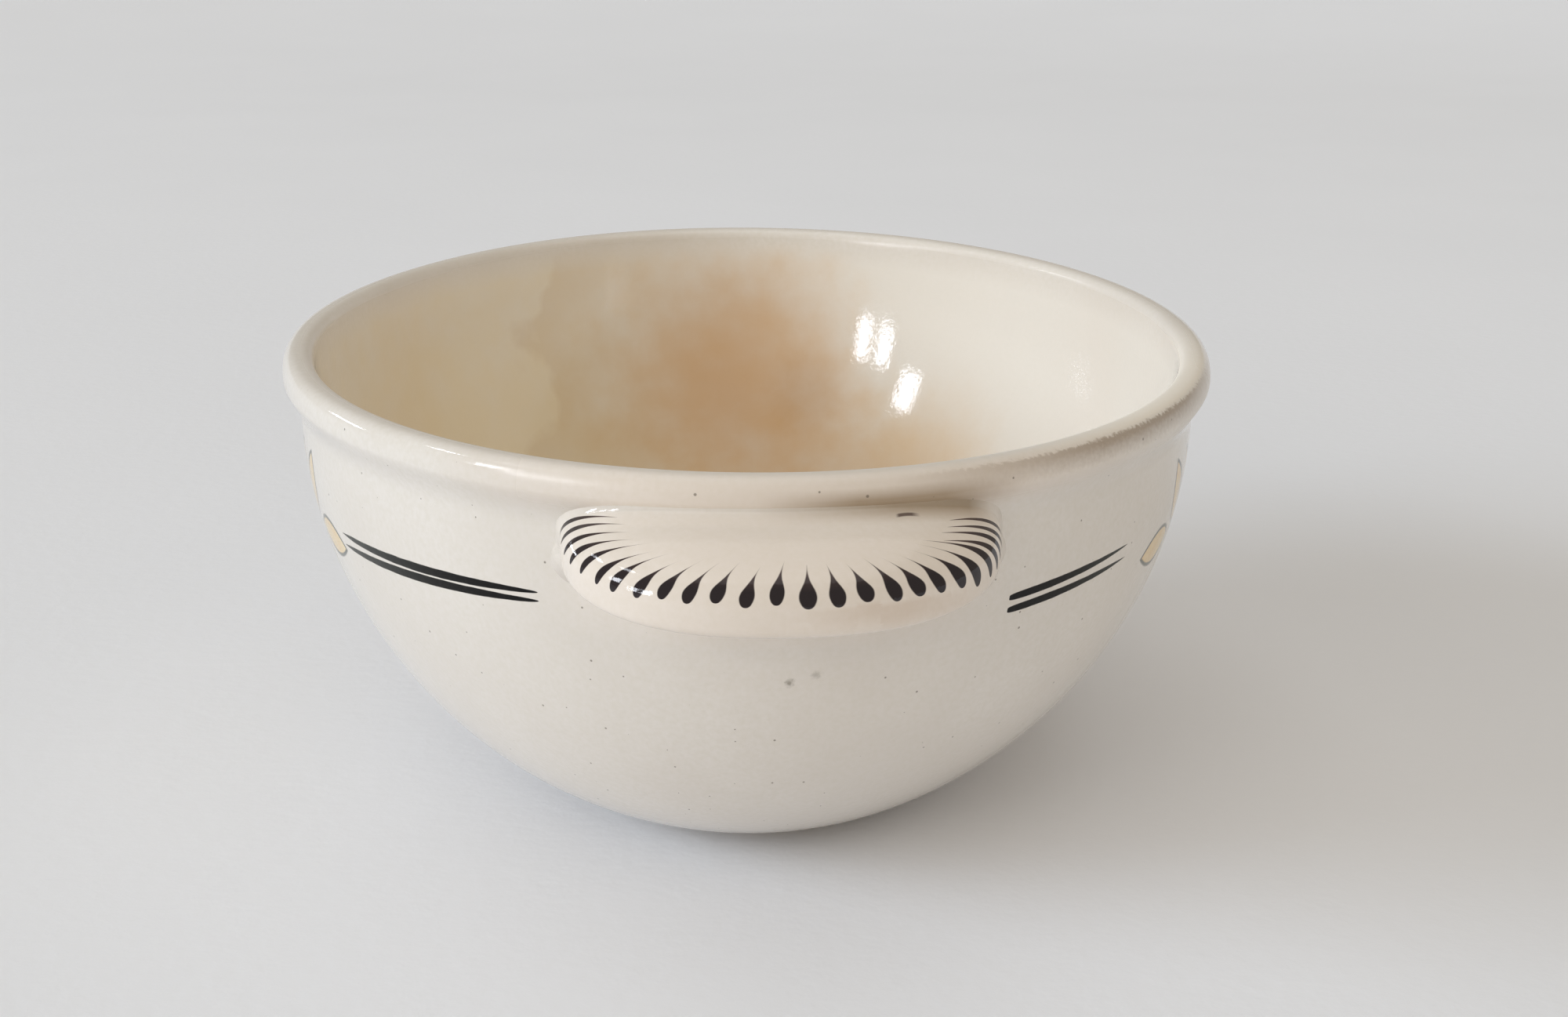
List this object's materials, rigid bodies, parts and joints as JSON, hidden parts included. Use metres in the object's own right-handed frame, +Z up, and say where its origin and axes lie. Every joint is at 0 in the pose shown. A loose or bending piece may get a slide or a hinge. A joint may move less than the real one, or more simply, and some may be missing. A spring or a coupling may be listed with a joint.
{
  "type": "oval vegetable dish",
  "caption": "Deep oval serving dish of cream glazed earthenware with a rolled bead rim, half-moon lug handles at both ends and a low foot ring.",
  "frame": {"origin": "on the table under the middle of the dish", "axes": "+Z up, Y along the dish's long axis with the front lug at -Y, X across it"},
  "size_m": [0.19, 0.2634, 0.09],
  "materials": {
    "cream_glaze": "glossy cream lead-type glaze over a pale earthenware body, with thin dark painted line pairs",
    "painted_glaze": "glossy cream glaze with dark brush strokes painted along the edge",
    "bare_clay": "unglazed, wiped foot"
  },
  "bodies": {
    "root": {"dish_bowl": "cream_glaze", "foot_ring": "bare_clay", "front_lug": "painted_glaze", "rear_lug": "painted_glaze"}
  },
  "joints": []
}
